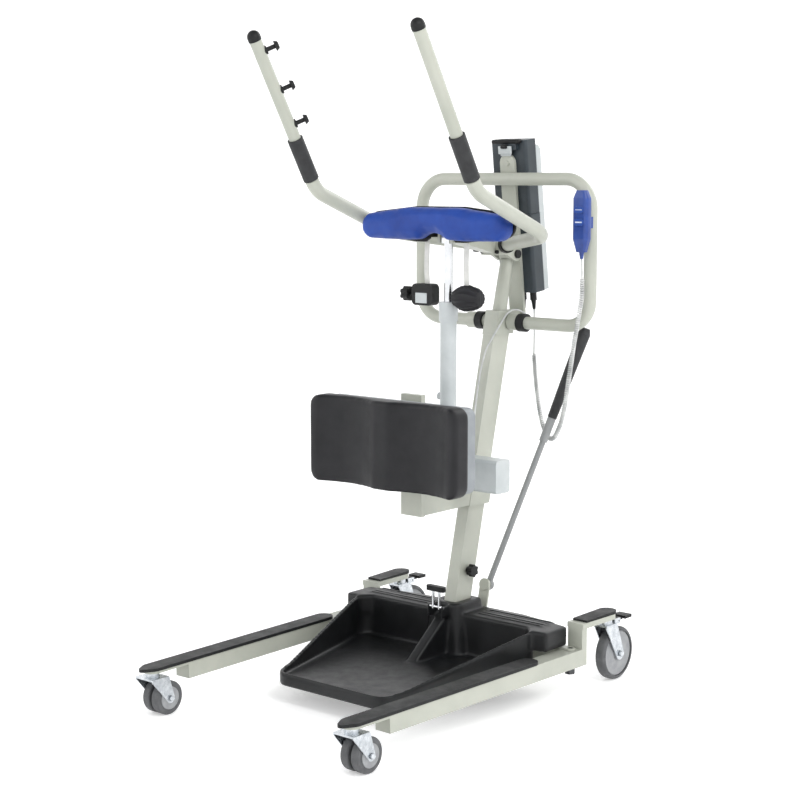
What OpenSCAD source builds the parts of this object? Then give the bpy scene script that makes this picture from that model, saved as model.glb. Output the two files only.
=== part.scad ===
// Sit-to-stand patient lift hoist. Millimetres, +Z up, the patient's side faces -Y.
// Origin: middle of the footprint, on the floor. Lengthwise places are distances behind the
// front caster axles, turned into Y by at_y().

/* [Base] */
// Distance from front caster axles to rear caster axles
wheelbase = 864; // [780:1:960]
// Distance from the middle plane to each leg hinge
pivot_x = 311; // [290:1:350]
// Distance of the leg hinges behind the front axles
pivot_d = 690; // [640:1:740]
// Angle by which the closed legs point inwards at the front
toe_in = 1.5; // [0:0.1:3]
// Width of the leg tubes
leg_w = 40; // [34:1:46]
// Height of the leg tubes
leg_h = 38; // [32:1:42]
// Height by which the legs' undersides lie below the tops of the front wheels
leg_drop = 9; // [4:1:14]
// Wall of the leg tubes
leg_wall = 3; // [2:0.5:4]

/* [Casters] */
// Diameter of the twin front wheels
front_wheel_d = 75; // [65:1:80]
// Width of one front wheel
front_wheel_w = 20; // [16:1:24]
// Diameter of the rear wheels
rear_wheel_d = 125; // [110:1:130]
// Width of the rear wheels
rear_wheel_w = 26; // [20:1:30]
// Distance of each front axle behind its swivel stem
front_trail = 28; // [20:1:34]
// Distance of each rear axle behind its swivel stem
rear_trail = 36; // [28:1:42]
// Diameter of the swivel stems
stem_d = 14; // [10:1:16]
// Diameter of the wheel axles
axle_d = 8; // [6:1:10]

/* [Footplate] */
// Half width of the footplate at its front edge
tray_front_x = 158; // [140:1:175]
// Distance from each leg hinge in to the edge of the footplate's rear wall
tray_gap = 35; // [28:1:45]
// Height of the footplate's underside above the floor
tray_z = 40; // [30:1:50]
// Height of the floor the feet stand on
tray_floor_z = 58; // [52:1:66]
// Height of the rear shelf
shelf_z = 156; // [145:1:170]
// Wall of the moulded footplate
tray_wall = 9; // [6:1:12]

/* [Mast] */
// Width of the mast tube
mast_w = 32; // [28:1:38]
// Depth of the mast tube
mast_t = 60; // [50:1:66]
// Angle by which the mast leans back
mast_lean = 13; // [10:0.5:15]
// Height of the boom hinge above the floor
hinge_z = 985; // [930:1:1040]
// Wall of the mast tube
mast_wall = 3; // [2:0.5:4]

/* [Knee support] */
// Width of the knee pad
knee_w = 430; // [380:1:470]
// Height of the knee pad
knee_h = 200; // [170:1:220]
// Thickness of the knee pad
knee_t = 50; // [44:1:60]
// Height of the middle of the knee pad
knee_z = 575; // [560:1:600]
// Side of the square support arm
arm_s = 46; // [40:1:50]
// Height of the underside of the support arm
arm_z = 402; // [385:1:410]

/* [Actuator] */
// Diameter of the actuator's outer tube
act_tube_d = 38; // [34:1:42]
// Diameter of the chromed rod
rod_d = 20; // [16:1:22]
// Height of the top of the outer tube
act_top_z = 882; // [840:1:900]
// Diameter of the pins at both ends of the actuator
pin_d = 10; // [8:1:12]

/* [Boom and arms] */
// Distance from the middle plane to each arm
arm_x = 232; // [215:1:250]
// Diameter of the arm tubes
arm_tube_d = 32; // [28:1:36]
// Diameter of the upper arm tubes, above the grips
arm_top_d = 28; // [24:1:30]
// Length of the hand grips
grip_l = 104; // [85:1:110]
// Distance from the middle of each arm in to the end of the chest pad
chest_gap = 24; // [20:1:40]
// Height of the chest pad
chest_h = 76; // [66:1:80]
// Thickness of the chest pad's cushion
chest_t = 36; // [30:1:40]

/* [Push handle] */
// Distance from the middle plane to the handle's uprights
handle_x = 250; // [225:1:275]
// Height of the lower bar's middle
handle_low_z = 824; // [810:1:835]
// Height of the upper bar's middle
handle_top_z = 1162; // [1120:1:1200]
// Diameter of the handle's tube
handle_d = 30; // [26:1:32]

/* [Control box] */
// Width of the battery and control box
box_w = 104; // [92:1:114]
// Depth of the battery and control box
box_t = 46; // [38:1:52]
// Thickness of the light cover behind the box
cover_t = 20; // [14:1:24]
// Angle by which the box leans forwards
box_lean = 7; // [5:0.5:8]
// Width of the post that carries the box
post_w = 42; // [36:1:50]

/* [Handset] */
// Length of the handset
handset_l = 140; // [125:1:150]
// Width of the handset
handset_w = 41; // [36:1:46]
// Thickness of the handset
handset_t = 26; // [22:1:28]

/* [Spreader lever] */
// Diameter of the lever's rod
lever_d = 14; // [12:1:16]
// Length of the lever from its hinge to its top
lever_l = 656; // [600:1:700]
// Length of the lever's grip
lever_grip_l = 226; // [190:1:250]

/* [Hidden] */
// Clearance between pieces that move past each other, and round a turning pin
gap = 1;
slip = 0.05;
// A cut runs past its surface by this much
over = 1;
$fn = 48;

// Footprint: the caps' front tips set its front end, the box's rear cover or the rear wheels its
// rear one. The rear axles stay at one distance, and a longer base has longer legs in front.
rear_axle_d = 864;
leg_extra = wheelbase - rear_axle_d;
cap_reach = 36;
post_foot_d = 908;
box_low = 92;
cover_d = post_foot_d + (box_t + cover_t) * cos(box_lean) - box_low * sin(box_lean);
rear_end_d = max(rear_axle_d + rear_wheel_d / 2, cover_d);
axle_y = (leg_extra + front_trail + cap_reach - rear_end_d) / 2;
function at_y(d) = axle_y + d;

// Heights that follow the wheels
front_fork_top = front_wheel_d + 13;
rear_fork_top = rear_wheel_d + 13;
leg_z = front_wheel_d - leg_drop;
heel_top_z = rear_fork_top + 25;

// Legs, measured along each leg from its hinge
leg_top = leg_z + leg_h;
front_stem_l = pivot_d + front_trail + leg_extra;
rear_stem_l = rear_axle_d - rear_trail - pivot_d;
tube_front_l = front_stem_l - 90;
tube_rear_l = 36;
heel_post_l = 18;
drain_d = 8;
pivot_bolt_d = 12;
hinge_plate_t = 4;
hinge_gap = 0.5;
hinge_eye_d = 24;
toe_plate_t = 6;
cap_w = leg_w + 5;
cap_t = 7;
cap_rear_l = 134;
heel_t = 12;
heel_w = leg_w + 4;
heel_cap_t = 7;

// Casters
wheel_gap = 8;
fork_t = 2.5;
front_fork_in = 2 * front_wheel_w + wheel_gap + 2 * gap;
rear_fork_in = rear_wheel_w + 4 * gap;
head_d = 30;
tyre_t = 9;
brake_pin_y = 36;
brake_pin_d = 4;

// Footplate
tray_front_d = 216;
tray_rear_d = 640;
tray_rear_x = pivot_x - tray_gap;
tray_r = 40;
tray_rim_z = 70;
shelf_x = pivot_x - 11;
shelf_end_d = 694;
shelf_mid_x = 160;
shelf_mid_d = 722;
shelf_under = leg_top + hinge_plate_t + 3;
block_d = 610;
hood_front_d = 608;
hood_w = 116;
hood_top_z = 178;
ridge_w = 30;
ridge_z = 150;
latch_d = 590;
latch_z = 172;
latch_rod_x = 9;
latch_rod_d = 7;
latch_top_z = 222;

// Mast: a line that leans back from its foot on the cross beam
beam_t = 50;
foot_plate_t = 6;
mast_foot_z = leg_top + foot_plate_t;
mast_foot_d = 655;
function mast_d(z) = mast_foot_d + (z - mast_foot_z) * tan(mast_lean);
mast_end_z = handle_low_z - 28;
hub_top_z = handle_low_z + 28;
knob_z = 246;
knob_stud_d = 8;
hub_w = mast_w + 8;
hub_t = mast_t + 8;
handle_dist = 839;
neck_d = 34;
eye_d = 34;
hinge_d = mast_d(hinge_z);

// Knee support
knee_front_d = 390;
backplate_t = 28;
arm_front_d = 513;
rail_w = 60;
rail_t = 14;
rail_top_z = 680;

// Actuator
act_d = 632;
act_pin_z = arm_z + arm_s + 18;
motor_w = 52;
motor_h = 76;
motor_x = 160;
motor_z = arm_z + arm_s + 6;
gear_z = 490;
gear_top_z = 548;
rod_pin_z = 1030;
button_z = 662;
button_x = 27;
button_d = 9;

// Saddle, boom and arms; corners of the bent tube on the +X side are [x, distance, z]
saddle_w = 54;
saddle_d = 808;
saddle_z = 1006;
arm_corners = [[18, saddle_d, saddle_z], [arm_x - 4, 695, 1036], [arm_x, 437, 1135], [arm_x, 422.4, 1160.1]];
arm_bend_r = 76;
arm_tip = [arm_x, 247, 1461];
peg_shares = [0.398, 0.642, 0.917];

// Chest pad, in front of the boom
chest_front_d = 566;
chest_z = 1060;
chest_x = arm_x - chest_gap;
chest_mid_x = 70;
chest_end_h = chest_h - 24;
backing_h = 60;
backing_plate_t = 6;
backing_end_d = chest_front_d + chest_t + 40;
strap_x = 58;
strap_w = 14;
strap_end_z = 922;
pouch_r = 29;
clamp_w = 62;
clamp_h = 50;
clamp_x = -strap_x - 6;
clamp_z = strap_end_z - clamp_h / 2;
clamp_stud_d = 9;
clamp_stud_l = 26;

// Control box: its frame stands on the post's foot and leans forwards
post_foot_z = 800;
post_t = 8;
post_l = 424;
box_split = 280;
box_high = 456;

// Spreader lever: its frame leans back, and the closed lever leans to the +X side
lever_x = 24;
lever_hinge_d = 752;
lever_hinge_z = 200;
lever_back = 13;
lever_side = 15.5;

// Handset, hung in front of the handle's +X upright
handset_d = 803;
handset_z = 997;
key_z = [68, 96];
key_depth = 4;
key_travel = 1.5;

// Leads: points chosen along each route, as [x, distance, z]
lead_d = 4;
curl_d = 12;
plug_x = [0, 30];
handset_lead_top = [[30, 925, 850], [30, 926, 825], [32, 924, 795], [36, 918, 768], [40, 912, 745]];
handset_curl = [[40, 912, 745], [44, 910, 715], [50, 907, 680], [60, 902, 640], [74, 894, 600],
    [92, 885, 568], [113, 874, 550], [135, 863, 552], [155, 852, 572], [172, 843, 600], [187, 835, 640],
    [200, 828, 690], [212, 822, 740], [224, 816, 790], [236, 810, 830], [244, 806, 860], [249, 804, 880],
    [252, 803, 905], [252, 803, 940]];
handset_lead_end = [[252, 803, 940], [251, 803, 965], [250, 803, 982]];
actuator_lead = [[0, 925, 850], [2, 927, 836], [14, 926, 826], [27, 916, 826], [32, 900, 833],
    [32, 880, 844], [31, 858, 852], [30, 835, 852], [30, 812, 842], [29, 790, 820], [22, 774, 795],
    [10, 762, 762], [2, 754, 720], [0, 744, 672], [3, 731, 626], [12, 712, 590], [26, 690, 566],
    [40, 668, 554], [49, 650, 548], [52, 640, 542], [52, 638, 534.6]];

// ---------- Shared shapes ----------

function unit(v) = v / norm(v);
function placed(path) = [for (p = path) [p[0], at_y(p[1]), p[2]]];
function tangent(p, i) = unit(p[min(i + 1, len(p) - 1)] - p[max(i - 1, 0)]);
function carried(n, t) = unit(n - (n * t) * t);
function first_normal(t) = abs(t[0]) > 0.7 ? [0, 0, 1] : [1, 0, 0];
function normals(p, n, i = 0) = i == len(p) ? [] :
    let (m = carried(n, tangent(p, i))) concat([m], normals(p, m, i + 1));

// A round tube swept along a path
module swept(path, r, sides) {
    n = normals(path, first_normal(tangent(path, 0)));
    rings = len(path);
    points = [for (i = [0 : rings - 1]) let (b = cross(tangent(path, i), n[i]))
        for (k = [0 : sides - 1]) path[i] + r * (cos(360 * k / sides) * n[i] + sin(360 * k / sides) * b)];
    walls = [for (i = [0 : rings - 2]) for (k = [0 : sides - 1]) let (m = (k + 1) % sides)
        [i * sides + k, i * sides + m, (i + 1) * sides + m, (i + 1) * sides + k]];
    ends = [[for (k = [sides - 1 : -1 : 0]) k], [for (k = [0 : sides - 1]) (rings - 1) * sides + k]];
    polyhedron(points, [for (f = concat(walls, ends)) [for (k = [len(f) - 1 : -1 : 0]) f[k]]]);
}

// A smooth curve through chosen points, with a number of steps from each to the next
function spline_at(a, b, c, d, t) = 0.5 * (2 * b + (c - a) * t + (2 * a - 5 * b + 4 * c - d) * t * t
    + (3 * b - 3 * c + d - a) * t * t * t);
function smooth(p, steps) = concat([for (i = [0 : len(p) - 2]) for (k = [0 : steps - 1])
    spline_at(p[max(i - 1, 0)], p[i], p[i + 1], p[min(i + 2, len(p) - 1)], k / steps)], [p[len(p) - 1]]);

// A path with its inner corners bent to a radius, each in a number of steps
function bend_at(a, b, c, r, steps) =
    let (u = unit(a - b), v = unit(c - b), half = acos(u * v) / 2, l = r / tan(half))
    let (centre = b + unit(u + v) * r / sin(half), w = 180 - 2 * half)
    let (s = b + u * l - centre, e = b + v * l - centre)
    [for (k = [0 : steps]) centre + (sin(w * (1 - k / steps)) * s + sin(w * k / steps) * e) / sin(w)];
function bent(p, r, steps) = concat([p[0]],
    [for (i = [1 : len(p) - 2]) each bend_at(p[i - 1], p[i], p[i + 1], r, steps)], [p[len(p) - 1]]);

// A round rod from one point to another
module rod(a, b, dia) {
    v = b - a;
    translate(a) rotate([0, acos(v[2] / norm(v)), atan2(v[1], v[0])]) cylinder(d = dia, h = norm(v));
}

// A box given by its lowest and highest corners, with lengthwise places as distances
module block(lo, hi) {
    translate([lo[0], at_y(lo[1]), lo[2]]) cube([hi[0] - lo[0], hi[1] - lo[1], hi[2] - lo[2]]);
}

// A bar across the object, its axis along X
module cross_bar(x0, x1, d, z, dia) {
    translate([x0, at_y(d), z]) rotate([0, 90, 0]) cylinder(d = dia, h = x1 - x0);
}

module rounded_rect(w, h, r) {
    offset(r) square([w - 2 * r, h - 2 * r], center = true);
}

module star_knob(dia, h) {
    lobes = 6;
    cylinder(d = dia * 0.78, h = h);
    for (k = [0 : lobes - 1]) rotate([0, 0, 360 * k / lobes]) translate([dia * 0.36, 0, 0])
        cylinder(d = dia * 0.28, h = h);
}

// ---------- Base ----------

// Places its children in a leg's own frame: hinge on the Z axis, front towards -Y
module on_leg(side) {
    translate([side * pivot_x, at_y(pivot_d), 0]) rotate([0, 0, -side * toe_in]) children();
}

// Turns its children back in line with the machine at a stem, a distance ahead of the hinge
module at_stem(side, l) {
    on_leg(side) translate([0, -l, 0]) rotate([0, 0, side * toe_in]) children();
}

module base_frame() {
    beam_end = pivot_x - leg_w / 2 - 9;
    color("gainsboro") {
        difference() {
            block([-beam_end, pivot_d - beam_t / 2, leg_z], [beam_end, pivot_d + beam_t / 2, leg_top]);
            for (side = [-1, 1]) on_leg(side) translate([0, 0, leg_z - over])
                cylinder(r = leg_w / 2 + 7, h = leg_h + 2 * over);
        }
        for (side = [-1, 1]) difference() {
            for (z = [leg_z - hinge_gap - hinge_plate_t, leg_top + hinge_gap]) hinge_plate(side, z);
            on_leg(side) cylinder(d = pivot_bolt_d, h = 2 * leg_top);
        }
        for (side = [-1, 1]) for (z = [leg_z - hinge_gap - over, leg_top - over])
            block([side * (beam_end - 30) - 20, pivot_d - beam_t / 2, z],
                [side * (beam_end - 30) + 20, pivot_d + beam_t / 2, z + hinge_gap + 2 * over]);
        for (side = [-1, 1]) block([side * 160 - 20, pivot_d - 15, leg_top],
            [side * 160 + 20, pivot_d + 5, shelf_z - tray_wall]);
        block([-40, mast_foot_d - mast_t / 2 - 5, leg_top], [40, pivot_d + beam_t / 2, mast_foot_z]);
        lever_bracket();
    }
}

// Plate over or under a leg that holds its pivot bolt
module hinge_plate(side, z) {
    beam_x = pivot_x - leg_w / 2 - 11;
    mirror([side < 0 ? 1 : 0, 0, 0]) {
        translate([beam_x - 56, at_y(pivot_d) - beam_t / 2, z]) cube([56, beam_t, hinge_plate_t]);
        translate([beam_x - over, at_y(pivot_d) - hinge_eye_d / 2, z])
            cube([pivot_x - beam_x + over, hinge_eye_d, hinge_plate_t]);
        translate([pivot_x, at_y(pivot_d), z]) cylinder(d = hinge_eye_d, h = hinge_plate_t);
    }
}

module at_lever() {
    translate([lever_x, at_y(lever_hinge_d), lever_hinge_z]) rotate([-lever_back, 0, 0]) children();
}

module lever_bracket() {
    at_lever() {
        translate([-14, -8.5, -96]) cube([28, 4.5, 96]);
        rotate([90, 0, 0]) translate([0, 0, 4]) cylinder(d = 28, h = 8);
        rotate([-90, 0, 0]) translate([0, 0, -6]) cylinder(d = 10, h = 22);
    }
    block([lever_x - 14, pivot_d + beam_t / 2 - over, leg_z + 10], [lever_x + 14, lever_hinge_d - 18, leg_top + 6]);
}

module leg(side) {
    color("gainsboro") on_leg(side) difference() {
        union() {
            difference() {
                translate([-leg_w / 2, -tube_front_l, leg_z]) cube([leg_w, tube_front_l + tube_rear_l, leg_h]);
                translate([-leg_w / 2 + leg_wall, -tube_front_l + leg_wall, leg_z + leg_wall])
                    cube([leg_w - 2 * leg_wall, tube_front_l - leg_wall - 30, leg_h - 2 * leg_wall]);
                translate([0, -tube_front_l + 30, leg_z - over]) cylinder(d = drain_d, h = leg_wall + 2 * over);
            }
            translate([-leg_w / 2, -front_stem_l, leg_top - toe_plate_t])
                cube([leg_w, front_stem_l - tube_front_l + 12, toe_plate_t]);
            translate([0, -front_stem_l, leg_top - toe_plate_t]) cylinder(d = leg_w, h = toe_plate_t);
            translate([-leg_w / 2, tube_rear_l - heel_post_l, leg_z])
                cube([leg_w, heel_post_l, heel_top_z - leg_z]);
            translate([-heel_w / 2, tube_rear_l - heel_post_l, heel_top_z - heel_t])
                cube([heel_w, rear_stem_l - tube_rear_l + heel_post_l, heel_t]);
            translate([0, rear_stem_l, heel_top_z - heel_t]) cylinder(d = heel_w, h = heel_t);
        }
        cylinder(d = pivot_bolt_d + 2 * slip, h = leg_top + over);
        translate([0, -front_stem_l, leg_top - toe_plate_t - over])
            cylinder(d = stem_d + 2 * slip, h = toe_plate_t + 2 * over);
        translate([0, rear_stem_l, heel_top_z - heel_t - over])
            cylinder(d = stem_d + 2 * slip, h = heel_t + 2 * over);
    }
}

// Black covers on top of a leg and of the arm over its rear caster
module leg_caps(side) {
    front_l = front_stem_l + cap_reach;
    color("#26282a") on_leg(side) {
        translate([0, 0, leg_top]) hull() {
            translate([0, -front_l + 10, 0]) cylinder(d = 20, h = cap_t, $fn = 32);
            translate([0, -front_stem_l, 0]) cylinder(d = cap_w, h = cap_t, $fn = 32);
            translate([0, -cap_rear_l - cap_w / 2, 0]) cylinder(d = cap_w, h = cap_t, $fn = 32);
        }
        translate([0, 0, heel_top_z]) hull() {
            translate([-cap_w / 2 + 3, tube_rear_l, 0]) cube([cap_w - 6, 10, heel_cap_t - 2]);
            translate([0, rear_stem_l + 4, 0]) cylinder(d = cap_w - 2, h = heel_cap_t, $fn = 32);
        }
    }
}

module pivot_bolts() {
    color("#303234") for (side = [-1, 1]) on_leg(side) {
        translate([0, 0, leg_z - hinge_gap - hinge_plate_t]) cylinder(d = pivot_bolt_d, h = leg_h + 2 * (hinge_gap + hinge_plate_t));
        translate([0, 0, leg_z - hinge_gap - hinge_plate_t - 12]) cylinder(d = 24, h = 12, $fn = 6);
    }
}

// ---------- Casters ----------

// Side cheek of a fork, drawn from its top to round the axle
module cheek(x, top, axle_z, trail, half, boss) {
    translate([x, 0, 0]) rotate([90, 0, 90]) linear_extrude(fork_t) difference() {
        hull() {
            translate([-half, top - 6]) square([2 * half, 6]);
            translate([trail, axle_z]) circle(d = boss);
        }
        translate([trail, axle_z]) circle(d = axle_d + 2 * slip);
    }
}

module fork(top, inner, axle_z, trail, half, boss, head_h, stem_top) {
    w = inner + 2 * fork_t;
    color("silver") {
        for (x = [-w / 2, w / 2 - fork_t]) cheek(x, top, axle_z, trail, half, boss);
        translate([-w / 2, -half, top - 4]) cube([w, 2 * half, 4]);
        translate([0, 0, top]) cylinder(d = head_d, h = head_h);
        translate([0, 0, top + head_h]) cylinder(d = stem_d, h = stem_top - top - head_h);
    }
}

module front_fork(side) {
    at_stem(side, front_stem_l) fork(front_fork_top, front_fork_in, front_wheel_d / 2, front_trail, 24, 22,
        leg_top - toe_plate_t - gap - front_fork_top, leg_top - 0.5);
}

module front_wheels(side) {
    span = front_fork_in / 2 + fork_t;
    color("#4a4c4e") at_stem(side, front_stem_l) translate([0, front_trail, front_wheel_d / 2]) rotate([0, 90, 0]) {
        for (k = [-1, 1]) translate([0, 0, k * (wheel_gap + front_wheel_w) / 2]) rotate_extrude()
            wheel_section(front_wheel_d / 2, front_wheel_w, 4);
        translate([0, 0, -span - 3]) cylinder(d = axle_d, h = 2 * span + 6);
    }
}

// Half section of a wheel with rounded shoulders, from the axle out
module wheel_section(r, w, round_r) {
    intersection() {
        translate([0, -w / 2]) square([r, w]);
        offset(round_r) translate([-r, -w / 2 + round_r]) square([2 * r - round_r, w - 2 * round_r]);
    }
}

module rear_fork(side) {
    at_stem(side, -rear_stem_l) {
        fork(rear_fork_top, rear_fork_in, rear_wheel_d / 2, rear_trail, 22, 30,
            heel_top_z - heel_t - gap - rear_fork_top, heel_top_z - 0.5);
        color("silver") for (x = [-1, 1]) difference() {
            translate([x * 11 - 2, 18, rear_fork_top - 4]) cube([4, 24, 12]);
            brake_pin(brake_pin_d + 2 * slip);
        }
    }
}

module rear_tyre(side) {
    color("#55585a") at_stem(side, -rear_stem_l) translate([0, rear_trail, rear_wheel_d / 2]) rotate([0, 90, 0])
        rotate_extrude() difference() {
            wheel_section(rear_wheel_d / 2, rear_wheel_w, 7);
            translate([-over, -rear_wheel_w]) square([rear_wheel_d / 2 - tyre_t + over, 2 * rear_wheel_w]);
        }
}

module rear_hub(side) {
    span = rear_fork_in / 2 + fork_t;
    color("#9a9da0") at_stem(side, -rear_stem_l) translate([0, rear_trail, rear_wheel_d / 2]) rotate([0, 90, 0]) {
        translate([0, 0, -rear_wheel_w / 2 + 4]) cylinder(r = rear_wheel_d / 2 - tyre_t, h = rear_wheel_w - 8);
        translate([0, 0, -rear_wheel_w / 2]) cylinder(d = 34, h = rear_wheel_w);
        translate([0, 0, -span - 4]) cylinder(d = axle_d, h = 2 * span + 8);
    }
}

module brake_pin(dia) {
    translate([-13, brake_pin_y, rear_fork_top + 2]) rotate([0, 90, 0]) cylinder(d = dia, h = 26);
}

// Foot pedal of the rear brake; it tips on a pin between the fork's two lugs
module brake_pedal(side) {
    color("#2c2e30") at_stem(side, -rear_stem_l) {
        translate([-8, brake_pin_y - 5, rear_fork_top - 3]) cube([16, 10, 10]);
        translate([-8, brake_pin_y + 4, rear_fork_top + 1]) cube([16, 18, 6]);
        translate([-17, brake_pin_y + 20, rear_fork_top + 3]) cube([34, 27, 7]);
        brake_pin(brake_pin_d);
    }
}

// ---------- Footplate ----------

// Slab of the foot well between two heights, inset from its outer faces
module well(inset, low, high) {
    slope = (tray_rear_x - tray_front_x) / (tray_rear_d - tray_front_d);
    side_x = tray_r * sqrt(1 + slope * slope);
    hull() for (side = [-1, 1]) {
        translate([side * (tray_front_x + tray_r * slope - side_x), at_y(tray_front_d + tray_r), low])
            cylinder(r = tray_r - inset, h = high - low);
        translate([side * (tray_rear_x - tray_r * slope - side_x), at_y(tray_rear_d - tray_r), low])
            cylinder(r = tray_r - inset, h = high - low);
    }
}

// Everything below the slanting line of the side rims
module below_rim() {
    translate([-shelf_x - over, 0, 0]) rotate([90, 0, 90]) linear_extrude(2 * (shelf_x + over)) polygon([
        [at_y(tray_front_d) - over, 0], [at_y(tray_rear_d) + over, 0], [at_y(tray_rear_d) + over, shelf_z],
        [at_y(tray_rear_d) - 60, shelf_z - 6], [at_y(tray_front_d) + 60, tray_rim_z + 6],
        [at_y(tray_front_d) - over, tray_rim_z]]);
}

// Outline of half of the shelf, from its front corner round its end to its middle; its front edge
// runs inside the wall of the well's rounded corner
function shelf_half(side, inset) = [
    [side * (tray_rear_x - 45 + 0.2 * inset), at_y(tray_rear_d) - tray_wall + inset],
    [side * (tray_rear_x - 18 + 0.6 * inset), at_y(block_d - 4) + inset],
    [side * (shelf_x - inset), at_y(block_d) + inset],
    [side * (shelf_x - inset), at_y(shelf_end_d) - inset],
    [side * shelf_mid_x, at_y(shelf_mid_d) - inset]];
function shelf_outline(inset) = let (left = shelf_half(-1, inset), right = shelf_half(1, inset))
    concat(right, [for (k = [len(left) - 1 : -1 : 0]) left[k]]);

module shelf() {
    difference() {
        translate([0, 0, shelf_under]) linear_extrude(shelf_z - shelf_under) polygon(shelf_outline(0));
        translate([0, 0, shelf_under - over]) linear_extrude(shelf_z - shelf_under - tray_wall + over)
            polygon(shelf_outline(tray_wall));
    }
    for (side = [-1, 1]) for (k = [0 : 3]) translate([side * 166 - 92, at_y(tray_rear_d + 10 + 14 * k), shelf_z])
        cube([184, 7, 3]);
}

module hood(inset, top) {
    hull() {
        translate([0, at_y((hood_front_d + shelf_mid_d) / 2), tray_floor_z]) linear_extrude(over)
            rounded_rect(hood_w - 2 * inset, shelf_mid_d - hood_front_d - 2 * inset, 18);
        translate([0, at_y((hood_front_d + shelf_mid_d) / 2 + 2), top - over]) linear_extrude(over)
            rounded_rect(hood_w - 30 - 2 * inset, shelf_mid_d - hood_front_d - 16 - 2 * inset, 16);
    }
}

module footplate() {
    color("#2b2d2f") difference() {
        union() {
            difference() {
                intersection() {
                    well(0, tray_z, shelf_z + over);
                    below_rim();
                }
                well(tray_wall, tray_floor_z, shelf_z + 2 * over);
            }
            shelf();
            hood(0, hood_top_z);
            hull() {
                block([-ridge_w / 2, 500, tray_floor_z - over], [ridge_w / 2, 506, tray_floor_z + 6]);
                block([-ridge_w / 2, hood_front_d, tray_floor_z], [ridge_w / 2, hood_front_d + 8, ridge_z]);
            }
            for (side = [-1, 1]) block([side * 20 - 2.5, latch_d - 8, ridge_z - 4],
                [side * 20 + 2.5, hood_front_d + 14, latch_z + 6]);
        }
        hood_hollow();
        mast_slot();
        cross_bar(-30, 30, latch_d, latch_z, 6 + 2 * slip);
    }
}

module hood_hollow() {
    difference() {
        hood(6, hood_top_z - 6);
        block([-hood_w, hood_front_d - over, 0], [hood_w, shelf_mid_d, tray_floor_z + 4]);
    }
    block([-hood_w / 2 + 12, tray_rear_d - 20, 0], [hood_w / 2 - 12, tray_rear_d + over, shelf_under]);
    block([-hood_w / 2 - over, tray_rear_d, 0], [hood_w / 2 + over, shelf_mid_d + over, shelf_under]);
}

module mast_slot() {
    lean_box(mast_w + 4, mast_t + 4, mast_foot_z - 2, hood_top_z + 30);
}

// Bar that lets the footplate go; it stands on two rods and tips forwards on their pin
module footplate_latch() {
    color("#1f2022") difference() {
        translate([0, at_y(latch_d), latch_top_z - 12]) linear_extrude(12) rounded_rect(52, 14, 5);
        latch_rods_at(latch_top_z - 12 - over, latch_top_z - 8);
    }
}

module latch_rods_at(low, high) {
    for (side = [-1, 1]) translate([side * latch_rod_x, at_y(latch_d), low]) cylinder(d = latch_rod_d, h = high - low);
}

module latch_rods() {
    color("silver") {
        latch_rods_at(latch_z - 4, latch_top_z - 8);
        cross_bar(-22.5, 22.5, latch_d, latch_z, 6);
    }
}

// ---------- Mast ----------

// An upright box that leans with the mast between two heights
module lean_box(w, t, z0, z1) {
    translate([0, at_y(mast_foot_d), mast_foot_z]) multmatrix([
        [1, 0, 0, 0], [0, 1, tan(mast_lean), 0], [0, 0, 1, 0], [0, 0, 0, 1]])
        translate([-w / 2, -t / 2, z0 - mast_foot_z]) cube([w, t, z1 - z0]);
}

module mast() {
    color("gainsboro") difference() {
        lean_box(mast_w, mast_t, mast_foot_z, mast_end_z);
        lean_box(mast_w - 2 * mast_wall, mast_t - 2 * mast_wall, mast_foot_z - over, mast_end_z + over);
        cross_bar(0, mast_w, mast_d(knob_z), knob_z, knob_stud_d + 2 * slip);
    }
}

module mast_knob() {
    stud = mast_wall + 4;
    color("#1f2022") translate([mast_w / 2 - stud, at_y(mast_d(knob_z)), knob_z]) rotate([0, 90, 0]) {
        cylinder(d = knob_stud_d, h = stud + 9);
        translate([0, 0, stud + gap]) cylinder(d = 15, h = 8);
        translate([0, 0, stud + 8]) star_knob(30, 14);
    }
}

// Cast head on the mast: holds the push handle's lower bar, the post's foot and the boom's neck
module mast_head() {
    color("gainsboro") {
        difference() {
            union() {
                translate([0, 6, 0]) lean_box(hub_w, hub_t, mast_end_z, hub_top_z);
                at_box() translate([-11, -post_t - 50, 18]) cube([22, 50, 34]);
            }
            cross_bar(-hub_w, hub_w, handle_dist, handle_low_z, handle_d);
        }
        difference() {
            union() {
                hull() {
                    translate([0, at_y(mast_d(hub_top_z)), hub_top_z - over]) cylinder(d = neck_d, h = over);
                    translate([0, at_y(mast_d(hinge_z - 14)), hinge_z - 14]) cylinder(d = neck_d - 4, h = over);
                }
                cross_bar(-15, 15, hinge_d, hinge_z, eye_d);
            }
            cross_bar(-20, 20, hinge_d, hinge_z, pin_d + 2 + 2 * slip);
        }
    }
}

// ---------- Knee support ----------

module support_arm() {
    collar_z0 = arm_z - 4;
    collar_z1 = arm_z + arm_s + 4;
    color("gainsboro") {
        difference() {
            union() {
                block([-arm_s / 2, arm_front_d, arm_z], [arm_s / 2, mast_d(arm_z), arm_z + arm_s]);
                lean_box(mast_w + 16, mast_t + 16, collar_z0, collar_z1);
            }
            lean_box(mast_w, mast_t, collar_z0 - over, collar_z1 + over);
        }
        block([-rail_w / 2, arm_front_d - rail_t, arm_z], [rail_w / 2, arm_front_d, rail_top_z]);
        difference() {
            for (side = [-1, 1]) block([side * 16 - 3, act_d - 15, arm_z + arm_s], [side * 16 + 3, act_d + 15, act_pin_z + 14]);
            cross_bar(-30, 30, act_d, act_pin_z, pin_d);
        }
    }
}

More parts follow.
